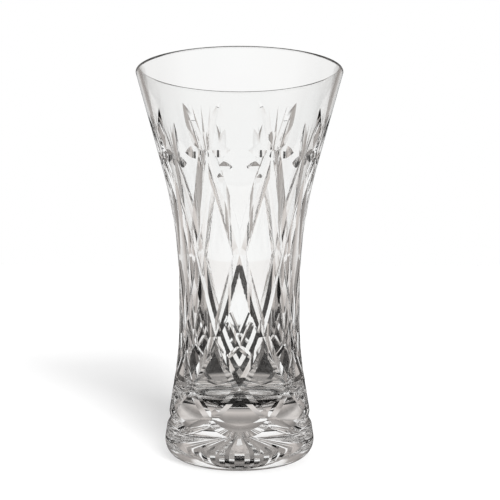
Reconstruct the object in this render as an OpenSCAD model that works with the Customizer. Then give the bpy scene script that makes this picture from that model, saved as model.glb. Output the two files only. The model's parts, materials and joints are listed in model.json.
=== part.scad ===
// Cut crystal vase: one piece of glass with a ground and polished pattern.
// A flared blank is turned first. V-shaped cuts are then taken out of its outside
// and out of its underside, as they are with a cutter's wheel.
// Origin: the middle of the standing face, +Z up. Millimetres.

/* [Blank] */
// Height of the vase
height = 254; // [220:1:290]
// Outside radius at the rim
rim_r = 69; // [62:0.5:76]
// Outside radius at the waist
waist_r = 40; // [37:0.1:44]
// Outside radius at the foot
foot_r = 49.2; // [46:0.1:54]
// Height at which the straight waist starts
waist_low_z = 88; // [80:1:96]
// Height at which the straight waist ends
waist_high_z = 106; // [100:1:120]
// Length of the straight stretch under the rim, above the flare's curve
rim_straight = 64; // [40:1:90]
// Length of the straight stretch above the foot, below the waist's curve
foot_straight = 43; // [25:1:50]
// Rounding of the foot's lower edge
foot_round = 12; // [8:0.5:14]

/* [Hollow] */
// Thickness of the wall at the rim
rim_wall = 4; // [3:0.1:6]
// Thickness of the wall at the waist, before cutting
waist_wall = 6; // [5:0.1:8]
// Height of the hollow's floor above the table
floor_z = 36; // [30:0.5:44]
// Rounding between the hollow's wall and its floor
floor_round = 14; // [8:0.5:16]
// Rounding of the rim's two edges
rim_round = 1.2; // [0.5:0.1:1.4]

/* [Pattern] */
// How many times the pattern repeats around the vase
repeats = 8; // [6:1:10]
// Height of the ring of fans
fan_z = 195.7; // [190:0.1:202]
// Height of the first crossing of the long cuts, below the fans
cross_1_z = 132.9; // [126:0.1:140]
// Height of the second crossing
cross_2_z = 82.2; // [78:0.1:88]
// Height of the third crossing
cross_3_z = 51.8; // [48:0.1:56]
// Height of the last crossing, above the foot
cross_4_z = 32.5; // [30:0.1:36]
// Depth of the long crossing cuts at the fans
long_depth = 2.2; // [1.5:0.1:2.6]
// Depth of the long crossing cuts at the last crossing
long_depth_end = 1.25; // [0.9:0.05:2]
// Angle of the wheel's edge for the long cuts
long_angle = 135; // [115:1:140]

/* [Fans] */
// Height of the fans' tips above the ring
fan_reach = 29; // [22:0.5:34]
// Share of the pattern's width that a fan spreads over at its tips
fan_spread = 0.53; // [0.4:0.01:0.62]
// Depth of the two outer leaves where they are fullest
leaf_depth = 1.95; // [1.2:0.05:2.4]
// Number of fine blades between the two leaves of a fan
blades = 3; // [1:2:5]
// Depth of a fine blade at its root
blade_depth = 1; // [0.6:0.1:1.6]
// Angle of the wheel's edge for the fine blades
blade_angle = 110; // [90:1:120]
// Length of a level cut beside each fan
level_length = 15; // [10:0.5:18]
// Depth of the level cuts
level_depth = 1.75; // [1:0.05:2.2]

/* [Small cuts] */
// Height of the small cross's middle
small_z = 76.4; // [72:0.1:78]
// How far the small cross reaches up
small_up = 15.2; // [10:0.1:18]
// How far the small cross reaches down
small_down = 6.1; // [4:0.1:8]
// Depth of the small cross
small_depth = 0.9; // [0.6:0.1:1.4]
// Angle of the wheel's edge for the small cross
small_angle = 115; // [100:1:130]
// How far the swags hang below the last crossing
swag_drop = 6.8; // [4:0.1:8]
// Depth of the swags
swag_depth = 1.6; // [1:0.1:2.2]

/* [Star] */
// Number of rays in the hollow star under the foot
star_rays = 24; // [12:2:32]
// Clear ring between the star's tips and the foot's rounding
star_margin = 1; // [0.5:0.5:5]
// Radius at which two rays meet on the standing face, as a share of the tips' radius
star_valley = 0.95; // [0.7:0.01:0.97]
// Height of the hollow star's middle
star_depth = 15; // [6:0.5:18]

/* [Hidden] */
$fn = 96;
fuse = 0.01; // overlap that keeps a cut from ending face to face with the glass
step = 360 / repeats; // one repeat of the pattern
half = step / 2; // from a fan to the middle of the panel beside it
run_on = 1; // how far a straight cut runs past its ends into the next one
second_pass = 0.1; // the second way round is cut this much shallower
proud = 0.05; // how far above the glass a cut's bottom line ends
level_gap = 0.3; // from a fan's middle to the level cuts beside it
leaf_full = 0.66; // share of its length at which a leaf is fullest
leaf_root = 3.2; // angle from a fan's middle to a leaf's root
root_step = 1.2; // angle between two fine blades at their roots
fine_reach = 0.96; // how far up the fine blades go, as a share of the leaves
fine_spread = 0.5; // how far out the fine blades go, as a share of the leaves
small_spread = 0.46; // share of half a panel that the small cross reaches out
small_heart = 0.3; // angle from the small cross's middle to the ends of its arms
seam_turn = 0.3; // where the outline starts, as a share of half a repeat
lean_step = 0.5; // height either side over which the outside's slope is taken
swag_step = 0.5; // length of one chord of a swag, as a share of its half
cut_reach = 7; // how far a cut's sides run out, past the glass

// A curve that leaves the waist upright and ends in a straight of a given length.
// out and up are what both cover together; the tilt is the straight's, off upright.
function curve_tilt(out, up, straight) = 2 * atan(out / (up + straight));
function curve_radius(out, up, straight) =
    let (t = curve_tilt(out, up, straight)) (up - straight * cos(t)) / sin(t);
// Points along an arc, from angle a0 to angle a1
function arc(c, r, a0, a1, n) =
    [for (i = [0 : n]) let (a = a0 + (a1 - a0) * i / n) c + r * [cos(a), sin(a)]];

// Outside, above the waist: the flare's curve, then a straight to the rim
rim_p = [rim_r, height];
flare_up = height - waist_high_z;
flare_tilt = curve_tilt(rim_r - waist_r, flare_up, rim_straight);
flare_curve = curve_radius(rim_r - waist_r, flare_up, rim_straight);
flare_c = [waist_r + flare_curve, waist_high_z];
flare_p = flare_c + flare_curve * [-cos(flare_tilt), sin(flare_tilt)];

// Outside, below the waist: a curve, then a straight that runs into the foot's rounding
foot_c = [foot_r - foot_round, foot_round];
foot_up = waist_low_z - foot_round;
foot_tilt = curve_tilt(foot_r - waist_r, foot_up, foot_straight);
foot_curve = curve_radius(foot_r - waist_r, foot_up, foot_straight) - foot_round;
lower_c = [waist_r + foot_curve, waist_low_z];
lower_p = lower_c - foot_curve * [cos(foot_tilt), sin(foot_tilt)];
foot_p = foot_c + foot_round * [cos(foot_tilt), sin(foot_tilt)];

// Outside radius of the blank at a height
function outer_r(z) =
    z > flare_p.y ? rim_r - (height - z) * tan(flare_tilt)
    : z > waist_high_z ? flare_c.x - sqrt(flare_curve ^ 2 - (z - flare_c.y) ^ 2)
    : z > waist_low_z ? waist_r
    : z > lower_p.y ? lower_c.x - sqrt(foot_curve ^ 2 - (z - lower_c.y) ^ 2)
    : z > foot_p.y ? foot_p.x - (z - foot_p.y) * tan(foot_tilt)
    : foot_c.x + sqrt(foot_round ^ 2 - (z - foot_c.y) ^ 2);

// Hollow: its own flare inside the wall, then the lower curve and a rounded floor
mouth_p = [rim_r - rim_wall, height];
well_r = waist_r - waist_wall;
well_tilt = curve_tilt(mouth_p.x - well_r, flare_up, rim_straight);
well_curve = curve_radius(mouth_p.x - well_r, flare_up, rim_straight);
well_c = [well_r + well_curve, waist_high_z];
base_curve = foot_curve + waist_wall;
floor_tilt = asin((waist_low_z - floor_z - floor_round) / (base_curve + floor_round));
floor_c = lower_c - (base_curve + floor_round) * [cos(floor_tilt), sin(floor_tilt)];

// The rim's two edges, rounded
outer_edge_c = rim_p - rim_round * [1, 1] - [rim_round * tan(flare_tilt), 0];
inner_edge_c = mouth_p + rim_round * [1, -1];

// Half of the glass, as one closed outline
outline = concat(
    arc(foot_c, foot_round, -90, foot_tilt, 8),
    arc(lower_c, foot_curve, 180 + foot_tilt, 180, 4),
    arc(flare_c, flare_curve, 180, 180 - flare_tilt, 8),
    arc(outer_edge_c, rim_round, -flare_tilt, 90, 4),
    arc(inner_edge_c, rim_round, 90, 180 - well_tilt, 4),
    arc(well_c, well_curve, 180 - well_tilt, 180, 8),
    arc(lower_c, base_curve, 180, 180 + floor_tilt, 4),
    arc(floor_c, floor_round, floor_tilt, -90, 6),
    [[0, floor_z], [0, 0]]);

// The glass before it is cut, turned so that the outline's start lies between the cuts
module blank() {
    rotate(seam_turn * half) rotate_extrude() polygon(outline);
}

// Slope of the outside at a height, as the angle between its normal and the level
function lean(z) = atan((outer_r(z + lean_step) - outer_r(z - lean_step)) / (2 * lean_step));
// Outward normal of the glass at an angle round the vase and a height
function normal_at(a, z) =
    [cos(lean(z)) * cos(a), cos(lean(z)) * sin(a), -sin(lean(z))];
// A point at a depth under the glass, given as [angle, height, depth]
function in_glass(p) =
    [outer_r(p.y) * cos(p.x), outer_r(p.y) * sin(p.x), p.y] - p.z * normal_at(p.x, p.y);
function unit(v) = v / norm(v);

// A straight V cut from a to b, open towards facing, run on past both ends by over
module v_cut(a, b, facing, angle, over = 0) {
    tall = cut_reach;
    along = unit(b - a);
    out = unit(facing - (facing * along) * along);
    side = cross(out, along);
    start = a - over * along;
    multmatrix([
        [side.x, out.x, along.x, start.x],
        [side.y, out.y, along.y, start.y],
        [side.z, out.z, along.z, start.z],
        [0, 0, 0, 1]])
        linear_extrude(height = norm(b - a) + 2 * over)
            polygon([[0, 0], [tall * tan(angle / 2), tall], [-tall * tan(angle / 2), tall]]);
}

// The same between two points in the glass, each given as [angle, height, depth]
module groove(p, q, angle, over = 0) {
    v_cut(in_glass(p), in_glass(q), normal_at((p.x + q.x) / 2, (p.y + q.y) / 2), angle, over);
}

// A run of straight V cuts through a list of points
module groove_run(points, angle, over) {
    for (i = [0 : len(points) - 2]) groove(points[i], points[i + 1], angle, over);
}

// One long cut, from a fan down through four crossings, growing finer on its way
module long_cut(lift) {
    function deep(z) = long_depth - lift
        - (long_depth - long_depth_end) * (fan_z - z) / (fan_z - cross_4_z);
    heights = [fan_z, (fan_z + cross_1_z) / 2, cross_1_z, cross_2_z, cross_3_z, cross_4_z];
    turns = [1, 0.5, 0, -1, -2, -3];
    groove_run([for (i = [0 : len(heights) - 1])
        [turns[i] * half, heights[i], deep(heights[i])]], long_angle, run_on);
}

// The small cross in a panel: four short arms from its middle to the long cuts
module small_cross() {
    for (way = [-1, 1]) {
        middle = [way * small_heart, small_z, small_depth];
        groove(middle, [way * small_spread * half, small_z + small_up, small_depth],
            small_angle, run_on);
        groove(middle, [way * small_spread * half, small_z - small_down, small_depth],
            small_angle, run_on);
    }
}

// The swag under a panel, hung between two of the last crossings
module swag() {
    groove_run([for (t = [-1 : swag_step : 1])
        [t * half, cross_4_z - swag_drop * (1 - t * t), swag_depth]], long_angle, run_on);
}

// Bottom line of a fan's outer leaf at a share s of its length, from its tip at 0
function leaf_at(s, way) = [
    half + way * (fan_spread * half * (1 - s) + leaf_root * s),
    fan_z + fan_reach * (1 - s),
    leaf_depth * (1 - ((s - leaf_full) / leaf_full) ^ 2) - proud];

// The fan: two broad leaves outside, and fine blades between that run out at their tips
module fan() {
    for (way = [-1, 1])
        groove_run([for (s = [0, leaf_full / 2, leaf_full, 1]) leaf_at(s, way)], long_angle, 0);
    side = (blades - 1) / 2;
    for (i = [-side : side])
        groove([half + i * root_step, fan_z, blade_depth],
            [half + i * fine_spread * fan_spread * half, fan_z + fan_reach * fine_reach, -proud],
            blade_angle);
}

// A level cut beside a fan, deepest in its middle
module level_cut(a) {
    reach = level_length / 2 / outer_r(fan_z) * 180 / PI;
    middle = [a, fan_z, level_depth];
    groove([a - reach, fan_z, -proud], middle, long_angle);
    groove(middle, [a + reach, fan_z, -proud], long_angle);
}

// The hollow star under the foot: a pyramid on a pointed star, its tips near the rounding
module star() {
    tip = foot_c.x - star_margin;
    low = -fuse;
    count = 2 * star_rays;
    ring = [for (i = [0 : count - 1])
        let (a = i * 360 / count, r = tip * (i % 2 == 0 ? 1 : star_valley))
            [r * cos(a), r * sin(a), low]];
    sides = [for (i = [0 : count - 1]) [i, count, (i + 1) % count]];
    polyhedron(points = concat(ring, [[0, 0, star_depth]]),
        faces = concat([[for (i = [0 : count - 1]) i]], sides));
}

// Repeats its child around the vase
module around(n = repeats) {
    for (k = [0 : n - 1]) rotate(k * 360 / n) children();
}

module long_cuts() {
    around() long_cut(0);
    mirror([0, 1, 0]) around() long_cut(second_pass);
}

module level_cuts() {
    out = (level_length / 2 + level_gap) / outer_r(fan_z) * 180 / PI;
    around() {
        level_cut(half - out);
        level_cut(half + out);
    }
}

// The whole vase, cut in the order in which a cutter works: long lines first, star last
module vase() {
    color("aliceblue") difference() {
        difference() {
            difference() {
                difference() {
                    blank();
                    long_cuts();
                }
                around() small_cross();
                around() swag();
            }
            around() fan();
            level_cuts();
        }
        star();
    }
}

vase();
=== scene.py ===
# Cut crystal vase: the finished glass, the table it stands on and the studio light.
import json
import math

import bpy
import numpy as np
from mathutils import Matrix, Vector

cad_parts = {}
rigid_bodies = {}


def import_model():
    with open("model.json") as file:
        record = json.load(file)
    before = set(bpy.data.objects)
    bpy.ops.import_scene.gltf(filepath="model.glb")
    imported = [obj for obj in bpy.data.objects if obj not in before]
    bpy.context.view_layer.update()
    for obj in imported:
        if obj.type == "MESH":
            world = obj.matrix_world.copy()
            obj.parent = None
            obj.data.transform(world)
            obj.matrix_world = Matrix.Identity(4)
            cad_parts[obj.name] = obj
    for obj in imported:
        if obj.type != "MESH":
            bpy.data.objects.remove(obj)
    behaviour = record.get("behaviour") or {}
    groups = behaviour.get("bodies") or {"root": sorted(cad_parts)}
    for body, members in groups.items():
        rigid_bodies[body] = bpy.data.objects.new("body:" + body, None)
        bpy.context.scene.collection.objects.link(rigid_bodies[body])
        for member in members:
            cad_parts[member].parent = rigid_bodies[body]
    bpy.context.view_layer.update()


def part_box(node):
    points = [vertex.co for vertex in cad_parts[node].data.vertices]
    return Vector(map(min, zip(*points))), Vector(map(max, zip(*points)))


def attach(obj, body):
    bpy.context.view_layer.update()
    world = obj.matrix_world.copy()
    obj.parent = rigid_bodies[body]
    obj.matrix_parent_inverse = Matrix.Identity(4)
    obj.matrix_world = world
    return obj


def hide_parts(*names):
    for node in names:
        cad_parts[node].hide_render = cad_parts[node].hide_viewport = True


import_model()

MM = 0.001
LOW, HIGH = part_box("vase")
HEIGHT = HIGH[2] - LOW[2]

# ---------------------------------------------------------------- sizes of the blank
RIM_R = 69 * MM
WAIST_R = 40 * MM
FOOT_R = 49.2 * MM
WAIST_LOW, WAIST_HIGH = 88 * MM, 106 * MM
RIM_STRAIGHT, FOOT_STRAIGHT, FOOT_ROUND = 64 * MM, 43 * MM, 12 * MM
RIM_WALL, WAIST_WALL, RIM_ROUND = 4 * MM, 6 * MM, 1.2 * MM
FLOOR_Z, FLOOR_ROUND = 36 * MM, 14 * MM
# Steps along each arc of the outline, the longest steps on its straights, steps round the
# axis, and the step at which the outside is read off.
ROUND_STEPS, LOWER_STEPS, FLARE_STEPS, RIM_STEPS = 16, 14, 30, 8
OUTSIDE_STEP, INSIDE_STEP, AROUND, FINE_STEP = 3 * MM, 4 * MM, 256, 0.1 * MM

# ---------------------------------------------------------------- sizes of the pattern
# HALF is half a repeat's turn. Fans stand at the odd halves, the panels between them at the
# even ones. CROSS_Z is the height of the fans' middles and of the four crossings under them.
REPEATS = 8
HALF = math.pi / REPEATS
CROSS_Z = np.array([195.7, 132.9, 82.2, 51.8, 32.5]) * MM
FAN_Z = CROSS_Z[0]
LONG_DEPTH = np.array([2.2, 1.9, 1.6, 1.4, 1.25]) * MM
LONG_ANGLE = math.radians(135)
# A fan's reach over its middle, and its spread as a share of HALF. A leaf's depth, how far
# down it is fullest, its turn at the root and how far down it runs. The fine blades' depth
# and angle, the turn between their roots, and their spread and reach as shares of the fan's.
FAN_REACH, FAN_SPREAD = 29 * MM, 0.53
LEAF_DEPTH, LEAF_FULL, LEAF_ROOT, LEAF_RUN = 1.95 * MM, 0.66, math.radians(3.2), 1.08
BLADE_DEPTH, BLADE_ANGLE, ROOT_STEP = 1.0 * MM, math.radians(110), math.radians(1.2)
BLADE_SPREAD, BLADE_REACH = 0.5, 0.96
LEVEL_LENGTH, LEVEL_DEPTH, LEVEL_ANGLE, LEVEL_GAP = 15 * MM, 1.75 * MM, math.radians(135), 0.3 * MM
# The small cross: its middle, the rise and drop of its arms, and their spread as a share of
# HALF. Each arm starts past the middle by a turn, and by a share of its own rise.
SMALL_Z, SMALL_UP, SMALL_DOWN, SMALL_SPREAD = 76.4 * MM, 15.2 * MM, 6.1 * MM, 0.46
SMALL_DEPTH, SMALL_ANGLE = 0.9 * MM, math.radians(115)
SMALL_PAST_TURN, SMALL_PAST_RISE = 0.01, 0.03
SWAG_DROP, SWAG_DEPTH = 6.8 * MM, 1.6 * MM
STAR_RAYS, STAR_DEPTH, STAR_VALLEY, STAR_MARGIN = 24, 15 * MM, 0.95, 1 * MM
# How far a cutter's sides rise from its bottom line, how far bottom lines rise out of the
# glass at their ends, and how far the star's base lies under the standing face.
REACH, END_LIFT, TIP_LIFT, STAR_UNDER = 4 * MM, 0.03 * MM, 0.05 * MM, 0.01 * MM
# Points along each bottom line, and the turn between two faces that makes an edge sharp.
LONG_POINTS, SWAG_POINTS, LEAF_POINTS, LEVEL_POINTS = 49, 25, 15, 17
SHARP_TURN = math.radians(14)


# ================================================================ shapes
def arc(centre, radius, start, end, count):
    """Points on a circle: the centre plus the radius at even steps of angle."""
    a = np.radians(np.linspace(start, end, count + 1))
    return np.array(centre) + radius * np.stack([np.cos(a), np.sin(a)], 1)


def waist_curve(out, up, straight):
    """Tilt in degrees and radius of a curve that leaves the waist upright and runs into a
    straight of a given length: the half tilt's tangent is out over up plus straight."""
    tilt = 2 * math.atan(out / (up + straight))
    return math.degrees(tilt), (up - straight * math.cos(tilt)) / math.sin(tilt)


def blank_outline():
    """Half of the glass as an outline of (radius, height), in two runs. One goes up over the
    foot rounding, lower curve, waist, flare and rim; one comes down inside to the floor."""
    flare, flare_curve = waist_curve(RIM_R - WAIST_R, HEIGHT - WAIST_HIGH, RIM_STRAIGHT)
    flare_c = (WAIST_R + flare_curve, WAIST_HIGH)
    foot, foot_curve = waist_curve(FOOT_R - WAIST_R, WAIST_LOW - FOOT_ROUND, FOOT_STRAIGHT)
    foot_curve -= FOOT_ROUND
    lower_c = (WAIST_R + foot_curve, WAIST_LOW)
    foot_c = (FOOT_R - FOOT_ROUND, FOOT_ROUND)
    mouth_r, well_r = RIM_R - RIM_WALL, WAIST_R - WAIST_WALL
    well, well_curve = waist_curve(mouth_r - well_r, HEIGHT - WAIST_HIGH, RIM_STRAIGHT)
    well_c = (well_r + well_curve, WAIST_HIGH)
    base_curve = foot_curve + WAIST_WALL
    sink = math.asin((WAIST_LOW - FLOOR_Z - FLOOR_ROUND) / (base_curve + FLOOR_ROUND))
    floor_c = (lower_c[0] - (base_curve + FLOOR_ROUND) * math.cos(sink), FLOOR_Z + FLOOR_ROUND)
    sink = math.degrees(sink)
    edge_in = RIM_ROUND * (1 + math.tan(math.radians(flare)))
    outside = np.concatenate([
        arc(foot_c, FOOT_ROUND, -90, foot, ROUND_STEPS),
        arc(lower_c, foot_curve, 180 + foot, 180, LOWER_STEPS),
        arc(flare_c, flare_curve, 180, 180 - flare, FLARE_STEPS),
        arc((RIM_R - edge_in, HEIGHT - RIM_ROUND), RIM_ROUND, -flare, 90, RIM_STEPS)])
    inside = np.concatenate([
        arc((mouth_r + RIM_ROUND, HEIGHT - RIM_ROUND), RIM_ROUND, 90, 180 - well, RIM_STEPS),
        arc(well_c, well_curve, 180 - well, 180, FLARE_STEPS),
        arc(lower_c, base_curve, 180, 180 + sink, LOWER_STEPS),
        arc(floor_c, FLOOR_ROUND, sink, -90, ROUND_STEPS)])
    return outside, inside


OUTSIDE, INSIDE = blank_outline()
FINE = np.linspace(0, HEIGHT, round(HEIGHT / FINE_STEP) + 1)
FINE_R = np.interp(FINE, OUTSIDE[:, 1], OUTSIDE[:, 0])
FINE_LEAN = np.arctan(np.gradient(FINE_R, FINE))


def outer_r(z):
    """Radius of the outside at a height, read off the outline."""
    return np.interp(z, FINE, FINE_R)


def on_glass(angle, z):
    """Point and outward normal on the outside at an angle round the axis and a height. The
    normal is the level direction outwards, tipped by the outline's lean."""
    lean = np.interp(z, FINE, FINE_LEAN)
    r = outer_r(z)
    point = np.stack([r * np.cos(angle), r * np.sin(angle), z], -1)
    normal = np.stack([np.cos(lean) * np.cos(angle), np.cos(lean) * np.sin(angle),
                       -np.sin(lean)], -1)
    return point, normal


def add_mesh(name, points, faces):
    """A new mesh object from points and lists of faces."""
    mesh = bpy.data.meshes.new(name)
    mesh.from_pydata(points.tolist(), [], faces)
    mesh.update()
    piece = bpy.data.objects.new(name, mesh)
    bpy.context.collection.objects.link(piece)
    return piece


def spaced(outline, longest):
    """The outline with its long straights divided, so that no step is over longest."""
    out = [outline[:1]]
    for a, b in zip(outline[:-1], outline[1:]):
        n = max(1, math.ceil(np.hypot(*(b - a)) / longest))
        out.append(a + (b - a) * (np.arange(1, n + 1) / n)[:, None])
    return np.concatenate(out)


def revolve(name, outline, around):
    """A closed turned solid. Each point of the outline is carried round the axis in even
    steps, and the two ends are closed with a fan of triangles to a point on the axis."""
    n = len(outline)
    a = np.arange(around) * 2 * math.pi / around
    ring = np.stack([np.outer(np.cos(a), outline[:, 0]), np.outer(np.sin(a), outline[:, 0]),
                     np.broadcast_to(outline[:, 1], (around, n))], -1)
    ends = np.array([[0, 0, outline[0, 1]], [0, 0, outline[-1, 1]]])
    points = np.concatenate([ring.reshape(-1, 3), ends])
    i, j = np.meshgrid(np.arange(around), np.arange(n - 1), indexing="ij")
    k = (i + 1) % around
    quads = np.stack([i * n + j, k * n + j, k * n + j + 1, i * n + j + 1], -1).reshape(-1, 4)
    c = np.arange(around)
    d = (c + 1) % around
    bottom = np.stack([d * n, c * n, np.full(around, around * n)], 1)
    top = np.stack([c * n + n - 1, d * n + n - 1, np.full(around, around * n + 1)], 1)
    return add_mesh(name, points, quads.tolist() + bottom.tolist() + top.tolist())


def v_run(bottom, facing, angle):
    """Points and faces of a closed V-shaped cutter. The V's bottom line follows the given
    points; its two sides rise from it at half the angle either side of the facing."""
    along = np.gradient(bottom, axis=0)
    along /= np.linalg.norm(along, axis=1, keepdims=True)
    out = facing - (facing * along).sum(1, keepdims=True) * along
    out /= np.linalg.norm(out, axis=1, keepdims=True)
    side = np.cross(out, along) * math.tan(angle / 2)
    ring = np.stack([bottom, bottom + REACH * (out + side), bottom + REACH * (out - side)], 1)
    n = len(bottom)
    i, j = np.meshgrid(np.arange(n - 1), np.arange(3), indexing="ij")
    k = (j + 1) % 3
    quads = np.stack([i * 3 + j, i * 3 + k, i * 3 + 3 + k, i * 3 + 3 + j], -1).reshape(-1, 4)
    caps = [[0, 2, 1], [3 * n - 3, 3 * n - 2, 3 * n - 1]]
    return ring.reshape(-1, 3), quads.tolist() + caps


def on_path(angles, heights, depths, count):
    """A smooth line in the glass through a few stations. Angle, height and depth are each
    carried between stations by a Catmull-Rom curve."""
    keys = np.stack([angles, heights, depths], 1)
    keys = np.concatenate([2 * keys[:1] - keys[1:2], keys, 2 * keys[-1:] - keys[-2:-1]])
    t = np.linspace(0, len(angles) - 1, count)
    s = np.minimum(t.astype(int), len(angles) - 2)
    f = (t - s)[:, None]
    p0, p1, p2, p3 = (keys[s + i] for i in range(4))
    line = 0.5 * (2 * p1 + (p2 - p0) * f + (2 * p0 - 5 * p1 + 4 * p2 - p3) * f ** 2
                  + (3 * p1 - p0 - 3 * p2 + p3) * f ** 3)
    point, normal = on_glass(line[:, 0], line[:, 1])
    return point - line[:, 2:3] * normal, normal


# ================================================================ the cuts
def long_cut(hand):
    """One long V cut, from a fan down through four crossings, turning one way or the other."""
    turns = hand * np.array([1.0, 0, -1, -2, -3]) * HALF
    point, facing = on_path(turns, CROSS_Z, LONG_DEPTH, LONG_POINTS)
    return v_run(point, facing, LONG_ANGLE)


def straight_cut(start, end, angle):
    """A V cut whose bottom line runs straight between two stations (angle, height, depth)."""
    line = np.array([start, end])
    point, normal = on_glass(line[:, 0], line[:, 1])
    return v_run(point - line[:, 2:3] * normal, normal, angle)


def small_arms():
    """The four arms of the small cross in a panel, each a straight V cut that starts a little
    past the cross's middle."""
    arms = []
    for way in (-1, 1):
        for rise in (SMALL_UP, -SMALL_DOWN):
            middle = (-way * SMALL_PAST_TURN, SMALL_Z - rise * SMALL_PAST_RISE, SMALL_DEPTH)
            end = (way * SMALL_SPREAD * HALF, SMALL_Z + rise, SMALL_DEPTH)
            arms.append(straight_cut(middle, end, SMALL_ANGLE))
    return arms


def swag_cut():
    """The swag under a panel: a V cut on a parabola hung between two last crossings."""
    t = np.linspace(-1, 1, SWAG_POINTS)
    point, normal = on_glass(t * HALF, CROSS_Z[-1] - SWAG_DROP * (1 - t ** 2))
    return v_run(point - SWAG_DEPTH * normal, normal, LONG_ANGLE)


def fan_blades():
    """The blades of one fan. The two outer ones are broad leaves that run on a little past
    the fan's middle: the depth of their bottom line is a parabola, fullest two thirds of the
    way down. The three between are fine straight cuts that rise out of the glass at their
    tips."""
    blades = []
    for way in (-1, 1):
        s = np.linspace(0, LEAF_RUN, LEAF_POINTS)
        turn = HALF + way * (FAN_SPREAD * HALF * (1 - s) + LEAF_ROOT * s)
        depth = LEAF_DEPTH * (1 - ((s - LEAF_FULL) / LEAF_FULL) ** 2) - END_LIFT
        point, normal = on_glass(turn, FAN_Z + FAN_REACH * (1 - s))
        blades.append(v_run(point - depth[:, None] * normal, normal, LONG_ANGLE))
    for i in (-1, 0, 1):
        root = (HALF + i * ROOT_STEP, FAN_Z, BLADE_DEPTH)
        tip = (HALF + i * BLADE_SPREAD * FAN_SPREAD * HALF, FAN_Z + FAN_REACH * BLADE_REACH, -TIP_LIFT)
        blades.append(straight_cut(root, tip, BLADE_ANGLE))
    return blades


def level_cuts():
    """The two level cuts beside a fan. Each bottom line is an arc of the wheel's edge: its
    depth falls off with the square of the distance from its middle."""
    cuts = []
    r = float(outer_r(FAN_Z))
    for way in (-1, 1):
        x = np.linspace(-0.5, 0.5, LEVEL_POINTS) * LEVEL_LENGTH
        depth = LEVEL_DEPTH * (1 - (2 * x / LEVEL_LENGTH) ** 2) - END_LIFT
        a = HALF + (way * (LEVEL_LENGTH / 2 + LEVEL_GAP) + x) / r
        point, normal = on_glass(a, np.full_like(a, FAN_Z))
        cuts.append(v_run(point - depth[:, None] * normal, normal, LEVEL_ANGLE))
    return cuts


def star_pyramid():
    """The hollow star under the foot: a pyramid whose base is a pointed star. The radius of
    the base's corners goes from tip to valley and back, and its peak is on the axis."""
    count = 2 * STAR_RAYS
    i = np.arange(count)
    a = i * 2 * math.pi / count
    r = (FOOT_R - FOOT_ROUND - STAR_MARGIN) * np.where(i % 2 == 0, 1, STAR_VALLEY)
    ring = np.stack([r * np.cos(a), r * np.sin(a), np.full(count, -STAR_UNDER)], 1)
    points = np.concatenate([ring, [[0, 0, STAR_DEPTH]]])
    sides = np.stack([i, (i + 1) % count, np.full(count, count)], 1)
    return points, sides.tolist() + [i[::-1].tolist()]


def turned(points, angle):
    """Points turned about the vase's axis: each times the matrix of the turn."""
    c, s = math.cos(angle), math.sin(angle)
    return points @ np.array([[c, s, 0], [-s, c, 0], [0, 0, 1]])


def cutter_group(name, cutters, count):
    """Closed cutters, each repeated round the axis, as objects of one collection. Their faces
    are marked as cut, and the boolean hands the mark on to the cut faces."""
    group = bpy.data.collections.new(name)
    for k in range(count):
        for points, faces in cutters:
            tool = add_mesh(name, turned(points, 2 * math.pi * k / count), faces)
            mark = tool.data.attributes.new("cut", "FLOAT", "FACE")
            mark.data.foreach_set("value", np.ones(len(faces), dtype=np.float32))
            bpy.context.collection.objects.unlink(tool)
            group.objects.link(tool)
    bpy.context.scene.collection.children.link(group)
    return group


# ================================================================ the vase
def outline_normals(outline):
    """Outward normal at each point of the outline, halfway between its two steps."""
    way = np.gradient(outline, axis=0)
    way /= np.linalg.norm(way, axis=1, keepdims=True)
    return np.stack([way[:, 1], -way[:, 0]], 1)


def turned_normals(points, outline):
    """Normals of the turned blank at points on it. Each point takes the normal of the nearest
    place on the outline, carried evenly between the outline's own points."""
    normal = outline_normals(outline)
    r = np.hypot(points[:, 0], points[:, 1])
    p = np.stack([r, points[:, 2]], 1)[:, None]
    a, b = outline[:-1], outline[1:]
    t = np.clip(((p - a) * (b - a)).sum(2) / ((b - a) ** 2).sum(1), 0, 1)
    away = np.linalg.norm(p - a - t[..., None] * (b - a), axis=2)
    near = away.argmin(1)
    t = t[np.arange(len(near)), near][:, None]
    n = normal[near] * (1 - t) + normal[near + 1] * t
    n /= np.linalg.norm(n, axis=1, keepdims=True)
    around = points[:, :2] / np.maximum(r, 1e-9)[:, None]
    return np.concatenate([n[:, :1] * around, n[:, 1:]], 1)


def cut_vase():
    """The blank with every cut taken out of it: the turned outline less all the cutters."""
    outline = np.concatenate([spaced(OUTSIDE, OUTSIDE_STEP), spaced(INSIDE, INSIDE_STEP)])
    vase = revolve("vase_glass", outline, AROUND)
    mark = vase.data.attributes.new("cut", "FLOAT", "FACE")
    mark.data.foreach_set("value", np.zeros(len(vase.data.polygons), dtype=np.float32))
    pattern = [long_cut(1), long_cut(-1), swag_cut()] + small_arms() + fan_blades() + level_cuts()
    groups = [cutter_group("pattern_cutters", pattern, REPEATS),
              cutter_group("star_cutters", [star_pyramid()], 1)]
    for group in groups:
        cut = vase.modifiers.new(group.name, "BOOLEAN")
        cut.operation = "DIFFERENCE"
        cut.operand_type = "COLLECTION"
        cut.collection = group
        cut.solver = "MANIFOLD"
    bpy.context.view_layer.update()
    done = bpy.data.meshes.new_from_object(
        vase.evaluated_get(bpy.context.evaluated_depsgraph_get()))
    vase.modifiers.clear()
    vase.data = done
    for group in groups:
        for tool in list(group.objects):
            bpy.data.objects.remove(tool)
        bpy.data.collections.remove(group)
    shade(vase.data, outline)
    return vase


def read(items, key, kind, width=1):
    """One value of every item of a mesh as an array."""
    out = np.empty(len(items) * width, dtype=kind)
    items.foreach_get(key, out)
    return out.reshape(-1, width) if width > 1 else out


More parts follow.
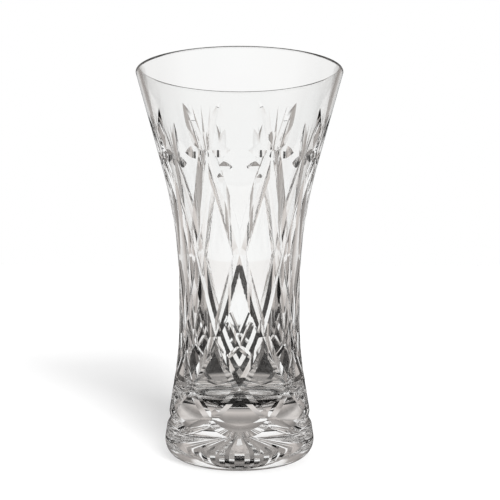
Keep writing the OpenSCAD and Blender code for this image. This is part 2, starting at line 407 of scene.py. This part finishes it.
def shade(mesh, outline):
    """Normals: the turned surface's own ones on uncut glass, smooth along each cut, and sharp
    where a cut meets the glass or another cut."""
    cut = read(mesh.attributes["cut"].data, "value", np.float32)
    mesh.polygons.foreach_set("use_smooth", np.ones(len(mesh.polygons), dtype=bool))
    face_of = np.repeat(np.arange(len(mesh.polygons)), read(mesh.polygons, "loop_total", np.int32))
    edge_of = read(mesh.loops, "edge_index", np.int32)
    order = np.argsort(edge_of, kind="stable")
    pair = face_of[order].reshape(-1, 2)
    normal = read(mesh.polygons, "normal", np.float32, 3)
    turn = (normal[pair[:, 0]] * normal[pair[:, 1]]).sum(1)
    sharp = (turn < math.cos(SHARP_TURN)) | (cut[pair[:, 0]] != cut[pair[:, 1]])
    mesh.edges.foreach_set("use_edge_sharp", sharp)
    mesh.update()
    corner = read(mesh.corner_normals, "vector", np.float32, 3)
    vertex_of = read(mesh.loops, "vertex_index", np.int32)
    points = read(mesh.vertices, "co", np.float32, 3)
    plain = cut[face_of] < 0.5
    corner[plain] = turned_normals(points, outline)[vertex_of[plain]]
    mesh.normals_split_custom_set(corner.tolist())


# ================================================================ materials
def new_material(name):
    """A material with its node tree, its shader and its output."""
    material = bpy.data.materials.new(name)
    material.use_nodes = True
    tree = material.node_tree
    return material, tree, tree.nodes["Principled BSDF"], tree.nodes["Material Output"]


def ramp(tree, value, stops):
    """The colour of a value, on a ramp through stops of (place, red, green, blue)."""
    node = tree.nodes.new("ShaderNodeValToRGB")
    for stop in stops[1:-1]:
        node.color_ramp.elements.new(stop[0])
    for element, stop in zip(node.color_ramp.elements, stops):
        element.position = stop[0]
        element.color = (*stop[1:], 1)
    tree.links.new(value, node.inputs["Fac"])
    return node.outputs["Color"]


def maths(tree, operation, *inputs):
    """A maths node fed with sockets or plain numbers; gives its output."""
    node = tree.nodes.new("ShaderNodeMath")
    node.operation = operation
    for socket, value in zip(node.inputs, inputs):
        if isinstance(value, (int, float)):
            socket.default_value = value
        else:
            tree.links.new(value, socket)
    return node.outputs[0]


def blend(tree, share, first, second):
    """A mix of two colours by a share of the second."""
    node = tree.nodes.new("ShaderNodeMix")
    node.data_type = "RGBA"
    for socket, value in zip((node.inputs[0], node.inputs[6], node.inputs[7]), (share, first, second)):
        tree.links.new(value, socket)
    return node.outputs[2]


def mixed(tree, share, first, second):
    """A mix of two shaders by a share of the second."""
    node = tree.nodes.new("ShaderNodeMixShader")
    for socket, value in zip(node.inputs, (share, first, second)):
        tree.links.new(value, socket)
    return node.outputs["Shader"]


def span(tree, value, start, end):
    """How far a value is from start to end, held between 0 and 1."""
    node = tree.nodes.new("ShaderNodeMapRange")
    node.inputs["From Min"].default_value = start
    node.inputs["From Max"].default_value = end
    tree.links.new(value, node.inputs["Value"])
    return node.outputs["Result"]


def noise(tree, place, scale, detail=2.0, roughness=0.5):
    """Noise on a place, with so many lumps to the metre."""
    node = tree.nodes.new("ShaderNodeTexNoise")
    node.inputs["Scale"].default_value = scale
    node.inputs["Detail"].default_value = detail
    node.inputs["Roughness"].default_value = roughness
    tree.links.new(place, node.inputs["Vector"])
    return node.outputs["Fac"]


def upright(tree, place, stretch):
    """A place whose height is scaled, so that marks on it stretch upwards."""
    node = tree.nodes.new("ShaderNodeVectorMath")
    node.operation = "MULTIPLY"
    node.inputs[1].default_value = (1, 1, stretch)
    tree.links.new(place, node.inputs[0])
    return node.outputs[0]


# The crystal's own marks: heights of the blown waves and of the polishing ripple, where the
# worn standing ring starts and is worn in full, its roughness, and a seed's size as a share
# of the distance between seeds.
WAVE_HEIGHT, RIPPLE_HEIGHT = 0.03 * MM, 0.004 * MM
WORN_START, WORN_FULL, WORN_ROUGHNESS = 0.35 * MM, 0.05 * MM, 0.35
SEED_SIZE, SEED_RARITY = 0.05, 0.56
# How many of each there are to the metre.
WAVES, RIPPLES, SCUFFS, DRIFTS, SEEDS, SEED_CLOUDS = 45, 520, 900, 28, 55, 12
# Colours of the drifting glass, and of clear glass and a seed.
DRIFT = [(0, 0.98, 0.99, 0.985), (0.5, 0.993, 0.996, 0.993), (1, 1.0, 0.998, 0.993)]
SEED_SHADE = [(0, 1, 1, 1), (1, 0.8, 0.8, 0.79)]


def finish_group():
    """A node group with the crystal's own small marks. Its height has the faint upright waves
    of blown glass, and in the cuts the fine ripple that polishing leaves. Its roughness is
    zero but for the worn standing ring, where z is nearly nought. Its colour is clear, with a
    breath of grey-green that drifts through the glass, and a few seeds."""
    group = bpy.data.node_groups.new("crystal_finish", "ShaderNodeTree")
    for name, kind in (("Colour", "Color"), ("Roughness", "Float"), ("Normal", "Vector")):
        group.interface.new_socket(name, in_out="OUTPUT", socket_type="NodeSocket" + kind)
    nodes, links = group.nodes, group.links
    end = nodes.new("NodeGroupOutput")
    place = nodes.new("ShaderNodeTexCoord").outputs["Object"]
    cut = nodes.new("ShaderNodeAttribute")
    cut.attribute_name = "cut"

    waves = noise(group, upright(group, place, 0.3), WAVES)
    ripple = noise(group, upright(group, place, 0.5), RIPPLES, 3)
    ripple = maths(group, "MULTIPLY", ripple, cut.outputs["Fac"])
    height = maths(group, "ADD", maths(group, "MULTIPLY", waves, WAVE_HEIGHT),
                   maths(group, "MULTIPLY", ripple, RIPPLE_HEIGHT))
    bump = nodes.new("ShaderNodeBump")
    bump.inputs["Distance"].default_value = 1
    links.new(height, bump.inputs["Height"])
    links.new(bump.outputs["Normal"], end.inputs["Normal"])

    axes = nodes.new("ShaderNodeSeparateXYZ")
    links.new(place, axes.inputs[0])
    low = span(group, axes.outputs["Z"], WORN_START, WORN_FULL)
    scuffs = span(group, noise(group, place, SCUFFS, 4, 0.7), 0.42, 0.6)
    worn = maths(group, "MULTIPLY", maths(group, "MULTIPLY", low, scuffs), WORN_ROUGHNESS)
    links.new(worn, end.inputs["Roughness"])

    seeds = nodes.new("ShaderNodeTexVoronoi")
    seeds.inputs["Scale"].default_value = SEEDS
    links.new(place, seeds.inputs["Vector"])
    seed = span(group, seeds.outputs["Distance"], SEED_SIZE, SEED_SIZE * 0.5)
    rare = maths(group, "GREATER_THAN", noise(group, place, SEED_CLOUDS), SEED_RARITY)
    both = nodes.new("ShaderNodeMix")
    both.data_type = "RGBA"
    both.blend_type = "MULTIPLY"
    both.inputs[0].default_value = 1
    links.new(ramp(group, noise(group, place, DRIFTS), DRIFT), both.inputs[6])
    links.new(ramp(group, maths(group, "MULTIPLY", seed, rare), SEED_SHADE), both.inputs[7])
    links.new(both.outputs[2], end.inputs["Colour"])
    return group


def crystal():
    """Clear lead crystal with its marks. Shadow rays pass partly through it."""
    material, tree, shader, out = new_material("crystal")
    shader.inputs["IOR"].default_value = 1.545
    shader.inputs["Transmission Weight"].default_value = 1
    finish = tree.nodes.new("ShaderNodeGroup")
    finish.node_tree = finish_group()
    tree.links.new(finish.outputs["Colour"], shader.inputs["Base Color"])
    tree.links.new(finish.outputs["Roughness"], shader.inputs["Roughness"])
    tree.links.new(finish.outputs["Normal"], shader.inputs["Normal"])
    clear = tree.nodes.new("ShaderNodeBsdfTransparent")
    clear.inputs["Color"].default_value = (0.8, 0.8, 0.8, 1)
    shadow = tree.nodes.new("ShaderNodeLightPath").outputs["Is Shadow Ray"]
    surface = mixed(tree, shadow, shader.outputs["BSDF"], clear.outputs["BSDF"])
    tree.links.new(surface, out.inputs["Surface"])
    return material


# The room as the glass shows it, by turn in degrees from straight ahead of the camera. Behind
# the vase hangs a white sheet, with a greyer room beside it. ROOM_FOOT is the lowest band,
# and each band of ROOM comes in over a span of rises, in degrees. The sheet's upper edge
# gives way to a dim wall, and over that to the ceiling, lighter over the camera. LAMPS stand
# beside the vase and behind the camera, with dark gaps between them.
LAMPS = [(45, 0.4), (48, 1), (58, 1), (61, 0.2), (71, 0.2), (74, 1), (108, 1), (112, 0.25),
         (130, 0.25), (134, 0.9), (180, 0.9)]
ROOM_FOOT = [(0, 1), (17, 1), (26, 0.9), (30, 0.42), (45, 0.38), (60, 0.3), (80, 0.25), (108, 0.3),
             (125, 0.7), (180, 0.95)]
ROOM = [
    (7, 9, [(0, 1), (25, 0.97), (30, 0.42)] + LAMPS),
    (13, 15, [(0, 1), (15, 1), (19, 0.65), (24, 0.6), (28, 0.35)] + LAMPS),
    (20, 22, [(0, 0.33), (48, 0.3), (51, 1), (79, 1), (82, 0.2), (104, 0.2), (108, 0.85), (180, 0.7)]),
    (29, 31, [(0, 0.1), (12, 0.3), (17, 0.5), (28, 0.5), (33, 0.22), (55, 0.3), (59, 0.95), (180, 1)]),
    (46, 50, [(0, 0.32), (50, 0.35), (100, 0.45), (180, 0.55)]),
]
# The floor past the table by turn, near to and far off, and the distances in metres between
# which the one gives way to the other.
NEAR_FLOOR = [(0, 1), (8, 1), (13, 0.7), (36, 0.65), (48, 0.6), (53, 0.32), (85, 0.32), (100, 0.4),
              (118, 0.85), (180, 1)]
FAR_FLOOR = [(0, 0.95), (55, 0.95), (70, 0.65), (95, 0.7), (120, 0.95), (180, 1)]
FLOOR_NEAR, FLOOR_FAR = 1.6, 2.2
# The table by distance from the vase in metres, as painted light and shade. Behind the vase it
# is black, with painted bright and dark rings close by where the foot gathers the light, and
# painted shade right under the foot. On the camera's side it is pale again.
# Painted light: rings thrown by the foot; painted shade: the black under the foot.
TABLE_BEHIND = [(0, 0.002), (0.045, 0.01), (0.05, 0.35), (0.056, 0.15), (0.064, 0.45), (0.073, 0.8),
                (0.08, 0.25), (0.087, 0.35), (0.093, 0.65), (0.103, 0.2), (0.11, 0.25), (0.14, 0.25),
                (0.15, 0.4), (0.167, 0.3), (0.185, 0.1), (0.205, 0.001), (1, 0.001)]
TABLE_BEFORE = [(0, 0.002), (0.048, 0.002), (0.06, 0.1), (0.13, 0.1), (0.2, 0.2), (0.33, 0.75), (1, 0.87)]
# Where the one side gives way to the other, as shares of a half turn.
TABLE_TURN = (0.52, 0.6)
# How much of the floor's level the table takes on by turn, and the distances at which that
# starts and is full.
SIDE_BAND = [(0, 0.0), (23, 0.0), (29, 0.18), (62, 0.18), (72, 0.0), (180, 0.0)]
SIDE_START, SIDE_FULL = 0.12, 0.2
# Where the table ends and the floor is seen in full, and how many metres further out that
# lies by turn: straight behind the vase, and at the table's corners.
TABLE_EDGE, FLOOR_FULL = 0.62, 0.67
REACH_BAND = [(0, 0.22), (7, 0.22), (11, 0.7), (21, 0.7), (26, 0.0), (180, 0.0)]
# The tint of a shade, the even light on the table, and how much of the room the gloss shows.
SHADE_TINT = (1.0, 0.925, 0.88)
TABLE_LIGHT, GLOSS_LIGHT = 0.4, 0.15


def tinted(stops, full):
    """Stops of (place, level) as ramp stops, placed by their share of full. Greys take a
    faint warm tint that goes away towards white and towards black."""
    out = []
    for place, level in stops:
        warm = 4 * level * max(0, 1 - level)
        out.append((place / full, *(level * (1 - warm * (1 - c)) for c in SHADE_TINT)))
    return out


def plain(stops, full):
    """Stops of (place, value) as ramp stops without a tint."""
    return [(place / full, value, value, value) for place, value in stops]


def turn_group():
    """A node group that gives the turn of a direction from straight ahead, as a share of a
    half turn: the angle between the direction's level part and +Y, over pi."""
    group = bpy.data.node_groups.new("turn_from_ahead", "ShaderNodeTree")
    group.interface.new_socket("Direction", in_out="INPUT", socket_type="NodeSocketVector")
    group.interface.new_socket("Turn", in_out="OUTPUT", socket_type="NodeSocketFloat")
    start, end = group.nodes.new("NodeGroupInput"), group.nodes.new("NodeGroupOutput")
    axes = group.nodes.new("ShaderNodeSeparateXYZ")
    group.links.new(start.outputs[0], axes.inputs[0])
    angle = maths(group, "ABSOLUTE", maths(group, "ARCTAN2", axes.outputs["X"], axes.outputs["Y"]))
    group.links.new(maths(group, "MULTIPLY", angle, 1 / math.pi), end.inputs[0])
    return group


TURN = turn_group()


def turn_of(tree, direction):
    """The turn group, fed with a direction."""
    node = tree.nodes.new("ShaderNodeGroup")
    node.node_tree = TURN
    tree.links.new(direction, node.inputs[0])
    return node.outputs[0]


def by_turn(tree, turn, stops):
    """A band of light as a colour, by turn in degrees."""
    return ramp(tree, turn, tinted(stops, 180))


def table_seen(tree):
    """The table as the glass sees it, as a colour of painted light and shade. Its levels go by
    distance from the vase, dark behind it and pale before it. Beside the vase it takes on some
    of the floor's level, and past its edge it gives way to the floor, which goes by turn, near
    to and far off."""
    place = tree.nodes.new("ShaderNodeTexCoord").outputs["Object"]
    length = tree.nodes.new("ShaderNodeVectorMath")
    length.operation = "LENGTH"
    tree.links.new(place, length.inputs[0])
    away = length.outputs["Value"]
    turn = turn_of(tree, place)
    top = blend(tree, span(tree, turn, *TABLE_TURN),
                ramp(tree, away, tinted(TABLE_BEHIND, 1)), ramp(tree, away, tinted(TABLE_BEFORE, 1)))
    ground = blend(tree, span(tree, away, FLOOR_NEAR, FLOOR_FAR),
                   by_turn(tree, turn, NEAR_FLOOR), by_turn(tree, turn, FAR_FLOOR))
    beside = ramp(tree, turn, plain(SIDE_BAND, 180))
    beside = maths(tree, "MULTIPLY", beside, span(tree, away, SIDE_START, SIDE_FULL))
    top = blend(tree, beside, top, ground)
    past = maths(tree, "SUBTRACT", away, ramp(tree, turn, plain(REACH_BAND, 180)))
    return blend(tree, span(tree, past, TABLE_EDGE, FLOOR_FULL), top, ground)


def table():
    """A white table top that keeps the vase's shadow. Rays that pass the glass see a glow in its
    place, painted light and shade of the table and floor, and rays off the glass's gloss see the
    same glow dimmed."""
    material, tree, shader, out = new_material("table")
    shader.inputs["Base Color"].default_value = (0.93, 0.93, 0.93, 1)
    shader.inputs["Roughness"].default_value = 0.9
    shader.inputs["Specular IOR Level"].default_value = 0.0
    light = tree.nodes.new("ShaderNodeLightPath")
    through = light.outputs["Is Transmission Ray"]
    # The glow is painted light and shade of the table and floor, seen only through and off the glass.
    glow = tree.nodes.new("ShaderNodeEmission")
    tree.links.new(table_seen(tree), glow.inputs["Color"])
    tree.links.new(maths(tree, "MAXIMUM", through, GLOSS_LIGHT), glow.inputs["Strength"])
    either = maths(tree, "MAXIMUM", light.outputs["Is Glossy Ray"], through)
    surface = mixed(tree, either, shader.outputs["BSDF"], glow.outputs["Emission"])
    tree.links.new(surface, out.inputs["Surface"])
    return material


# ================================================================ stage
TABLE_HALF = 6.0
CAMERA_PLACE = (0, -0.507, 0.136)


def background(tree, strength, colour=None):
    """Light from all round at a strength, white unless it is fed with a colour."""
    node = tree.nodes.new("ShaderNodeBackground")
    node.inputs["Color"].default_value = (1, 1, 1, 1)
    node.inputs["Strength"].default_value = strength
    if colour is not None:
        tree.links.new(colour, node.inputs["Color"])
    return node.outputs["Background"]


def surroundings():
    """The light round the vase. The glass shows the room's bands, one above another; what it
    shows in its gloss is the same, dimmed. The table is lit evenly, and the backdrop is
    white."""
    world = bpy.data.worlds.new("surroundings")
    bpy.context.scene.world = world
    world.use_nodes = True
    tree = world.node_tree
    tree.nodes.clear()
    way = tree.nodes.new("ShaderNodeTexCoord").outputs["Generated"]
    axes = tree.nodes.new("ShaderNodeSeparateXYZ")
    tree.links.new(way, axes.inputs[0])
    rise = maths(tree, "MULTIPLY", maths(tree, "ARCSINE", axes.outputs["Z"]), 180 / math.pi)
    turn = turn_of(tree, way)
    room = by_turn(tree, turn, ROOM_FOOT)
    for start, end, stops in ROOM:
        room = blend(tree, span(tree, rise, start, end), room, by_turn(tree, turn, stops))
    light = tree.nodes.new("ShaderNodeLightPath")
    surface = mixed(tree, light.outputs["Is Glossy Ray"],
                    background(tree, TABLE_LIGHT), background(tree, GLOSS_LIGHT, room))
    surface = mixed(tree, light.outputs["Is Transmission Ray"], surface, background(tree, 1, room))
    surface = mixed(tree, light.outputs["Is Camera Ray"], surface, background(tree, 1))
    out = tree.nodes.new("ShaderNodeOutputWorld")
    tree.links.new(surface, out.inputs["Surface"])


def sun(name, rise, turn, softness, strength):
    """A far lamp: its height above the level and its turn round the vase in degrees, how
    wide it is, and its strength."""
    data = bpy.data.lights.new(name, "SUN")
    data.angle = math.radians(softness)
    data.energy = strength
    piece = bpy.data.objects.new(name, data)
    piece.rotation_euler = (math.radians(90 - rise), 0, math.radians(turn))
    bpy.context.collection.objects.link(piece)
    return piece


def set_camera():
    """The camera stands before the vase, a little over its middle, and looks level."""
    camera = bpy.data.objects.new("camera", bpy.data.cameras.new("camera"))
    camera.location = CAMERA_PLACE
    camera.rotation_euler = (math.radians(90), 0, 0)
    camera.data.lens = 54.72
    camera.data.sensor_width = 36
    camera.data.shift_x = 0.021
    camera.data.clip_start = 0.01
    bpy.context.collection.objects.link(camera)
    bpy.context.scene.camera = camera


vase = cut_vase()
vase.data.materials.clear()
vase.data.materials.append(crystal())
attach(vase, "root")
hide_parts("vase")

corners = np.array([[-1, -1, 0], [1, -1, 0], [1, 1, 0], [-1, 1, 0]]) * TABLE_HALF
floor = add_mesh("table_top", corners, [[0, 1, 2, 3]])
floor.data.materials.append(table())
surroundings()
key = sun("key_light", rise=22, turn=22, softness=26, strength=6.6)
key.visible_glossy = False
key.visible_transmission = False
set_camera()

bpy.context.scene.view_settings.view_transform = "Standard"
bpy.context.scene.cycles.max_bounces = 24
bpy.context.scene.cycles.transmission_bounces = 24
bpy.context.scene.cycles.glossy_bounces = 12
